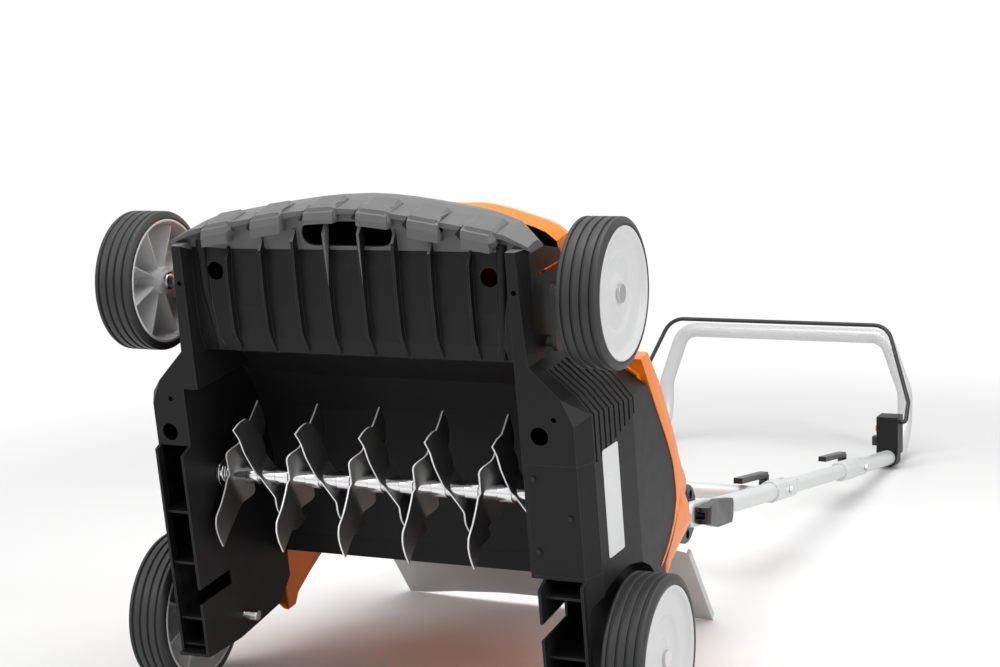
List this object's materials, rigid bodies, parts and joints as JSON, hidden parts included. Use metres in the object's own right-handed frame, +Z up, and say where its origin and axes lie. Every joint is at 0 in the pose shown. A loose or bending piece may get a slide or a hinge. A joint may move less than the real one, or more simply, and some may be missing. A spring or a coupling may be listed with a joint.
{
  "type": "electric lawn scarifier",
  "caption": "Electric lawn scarifier tipped back on its rear wheels, with bladed shaft, hinged rear flap and folding handle.",
  "frame": {"origin": "middle of the bounding box at floor level, in the tipped stance of the picture", "axes": "+Z up, +Y from the upturned underside towards the handle's grip, +X to the right as seen in the picture"},
  "size_m": [0.614, 1.6246, 0.576],
  "materials": {
    "black_plastic": "fine grained black",
    "blade_steel": "dark tempered steel",
    "flap_grey": "mid grey, satin",
    "motor_paint": "dark grey",
    "orange_plastic": "semi-gloss orange",
    "rim_plastic": "pale grey, satin",
    "rubber": "ribbed, dull black",
    "steel": "bright zinc",
    "tube_paint": "light grey powder coat"
  },
  "bodies": {
    "chassis": {"belt_cover": "black_plastic", "cover_screw_1": "blade_steel", "cover_screw_2": "blade_steel", "cover_screw_3": "blade_steel", "drive_belt": "rubber", "flap_hinge_pin": "steel", "lower_housing": "black_plastic", "motor_casing": "motor_paint", "pivot_bracket_left": "black_plastic", "pivot_bracket_right": "black_plastic", "rear_axle_left": "steel", "rear_axle_right": "steel", "shaft_bearing_left": "steel", "shaft_bearing_right": "steel", "top_cover": "orange_plastic"},
    "blade_rotor": {"blade_shaft": "steel", "double_blade_01": "blade_steel", "double_blade_02": "blade_steel", "double_blade_03": "blade_steel", "double_blade_04": "blade_steel", "double_blade_05": "blade_steel", "double_blade_06": "blade_steel", "double_blade_07": "blade_steel", "double_blade_08": "blade_steel", "double_blade_09": "blade_steel", "double_blade_10": "blade_steel"},
    "motor_rotor": {"motor_shaft_pulley": "steel"},
    "depth_crank": {"front_crank_axle": "motor_paint"},
    "flap": {"rear_flap": "flap_grey"},
    "lower_handle": {"lower_handle_bar": "tube_paint", "fold_sleeve_1_left": "tube_paint", "fold_sleeve_1_right": "tube_paint", "fold_bolt_1_left": "steel", "fold_bolt_1_right": "steel"},
    "middle_handle": {"middle_tube_left": "tube_paint", "middle_tube_right": "tube_paint", "fold_sleeve_2_left": "tube_paint", "fold_sleeve_2_right": "tube_paint", "fold_bolt_2_left": "steel", "fold_bolt_2_right": "steel"},
    "upper_handle": {"upper_handle_loop": "tube_paint", "switch_box": "black_plastic", "bail_bracket": "black_plastic", "power_inlet": "black_plastic"},
    "switch_bail": {"bail": "black_plastic"},
    "start_lock": {"lock_button": "orange_plastic"},
    "front_roller_left": {"front_tyre_left": "rubber", "front_wheel_left": "rim_plastic"},
    "rear_roller_left": {"rear_tyre_left": "rubber", "rear_wheel_left": "rim_plastic"},
    "pivot_clamp_left": {"pivot_lever_left": "black_plastic"},
    "fold_clamp_1_left": {"fold_lever_1_left": "black_plastic"},
    "fold_clamp_2_left": {"fold_lever_2_left": "black_plastic"},
    "front_roller_right": {"front_tyre_right": "rubber", "front_wheel_right": "rim_plastic"},
    "rear_roller_right": {"rear_tyre_right": "rubber", "rear_wheel_right": "rim_plastic"},
    "pivot_clamp_right": {"pivot_lever_right": "black_plastic"},
    "fold_clamp_1_right": {"fold_lever_1_right": "black_plastic"},
    "fold_clamp_2_right": {"fold_lever_2_right": "black_plastic"}
  },
  "joints": [
    {"name": "blade_spin", "type": "hinge", "parent": "chassis", "child": "blade_rotor", "pos_m": [0, -0.704, 0.26107], "axis": [1, 0, 0], "continuous": true},
    {"name": "motor_spin", "type": "hinge", "parent": "chassis", "child": "motor_rotor", "pos_m": [0, -0.52973, 0.2334], "axis": [1, 0, 0], "continuous": true},
    {"name": "depth_setting", "type": "hinge", "parent": "chassis", "child": "depth_crank", "pos_m": [0, -0.7322, 0.42841], "axis": [1, 0, 0], "range_deg": [-10, 10]},
    {"name": "flap_hinge", "type": "hinge", "parent": "chassis", "child": "flap", "pos_m": [0, -0.35743, 0.13626], "axis": [1, 0, 0], "range_deg": [-120, 18]},
    {"name": "handle_pivot", "type": "hinge", "parent": "chassis", "child": "lower_handle", "pos_m": [0, -0.33502, 0.1574], "axis": [1, 0, 0], "range_deg": [-20, 95]},
    {"name": "lower_fold", "type": "hinge", "parent": "lower_handle", "child": "middle_handle", "pos_m": [0, 0.0395, 0.10625], "axis": [1, 0, 0], "range_deg": [-106, 0]},
    {"name": "upper_fold", "type": "hinge", "parent": "middle_handle", "child": "upper_handle", "pos_m": [0, 0.46159, 0.04861], "axis": [1, 0, 0], "range_deg": [0, 104]},
    {"name": "bail_squeeze", "type": "hinge", "parent": "upper_handle", "child": "switch_bail", "pos_m": [0, 0.6905, 0.07789], "axis": [-1, 0, 0], "range_deg": [0, 8], "stiffness_Nm_per_rad": 2, "springref_deg": -17.19},
    {"name": "rear_wheel_spin_right", "type": "hinge", "parent": "chassis", "child": "rear_roller_right", "pos_m": [0.284, -0.67186, 0.0884], "axis": [1, 0, 0], "continuous": true},
    {"name": "front_wheel_spin_right", "type": "hinge", "parent": "depth_crank", "child": "front_roller_right", "pos_m": [0.266, -0.73627, 0.47872], "axis": [1, 0, 0], "continuous": true},
    {"name": "pivot_clamp_turn_right", "type": "hinge", "parent": "chassis", "child": "pivot_clamp_right", "pos_m": [0.2318, -0.33502, 0.1574], "axis": [0, -0.1353, -0.9908], "range_deg": [0, 90]},
    {"name": "fold_clamp_turn_1_right", "type": "hinge", "parent": "lower_handle", "child": "fold_clamp_1_right", "pos_m": [0.1932, 0.0395, 0.10625], "axis": [0, -0.1353, -0.9908], "range_deg": [0, 90]},
    {"name": "fold_clamp_turn_2_right", "type": "hinge", "parent": "middle_handle", "child": "fold_clamp_2_right", "pos_m": [0.1932, 0.46159, 0.04861], "axis": [0, -0.1353, -0.9908], "range_deg": [0, 90]},
    {"name": "rear_wheel_spin_left", "type": "hinge", "parent": "chassis", "child": "rear_roller_left", "pos_m": [-0.284, -0.67186, 0.0884], "axis": [1, 0, 0], "continuous": true},
    {"name": "front_wheel_spin_left", "type": "hinge", "parent": "depth_crank", "child": "front_roller_left", "pos_m": [-0.266, -0.73627, 0.47872], "axis": [1, 0, 0], "continuous": true},
    {"name": "pivot_clamp_turn_left", "type": "hinge", "parent": "chassis", "child": "pivot_clamp_left", "pos_m": [-0.2318, -0.33502, 0.1574], "axis": [0, 0.1353, 0.9908], "range_deg": [0, 90]},
    {"name": "fold_clamp_turn_1_left", "type": "hinge", "parent": "lower_handle", "child": "fold_clamp_1_left", "pos_m": [-0.1932, 0.0395, 0.10625], "axis": [0, 0.1353, 0.9908], "range_deg": [0, 90]},
    {"name": "fold_clamp_turn_2_left", "type": "hinge", "parent": "middle_handle", "child": "fold_clamp_2_left", "pos_m": [-0.1932, 0.46159, 0.04861], "axis": [0, 0.1353, 0.9908], "range_deg": [0, 90]},
    {"name": "lock_press", "type": "slide", "parent": "upper_handle", "child": "start_lock", "axis": [1, 0, 0], "range_m": [0, 0.003], "stiffness_N_per_m": 300, "springref_m": -0.001}
  ],
  "couplings": [
    {"joint": "motor_spin", "follows": "blade_spin", "ratio": 0.83333}
  ]
}
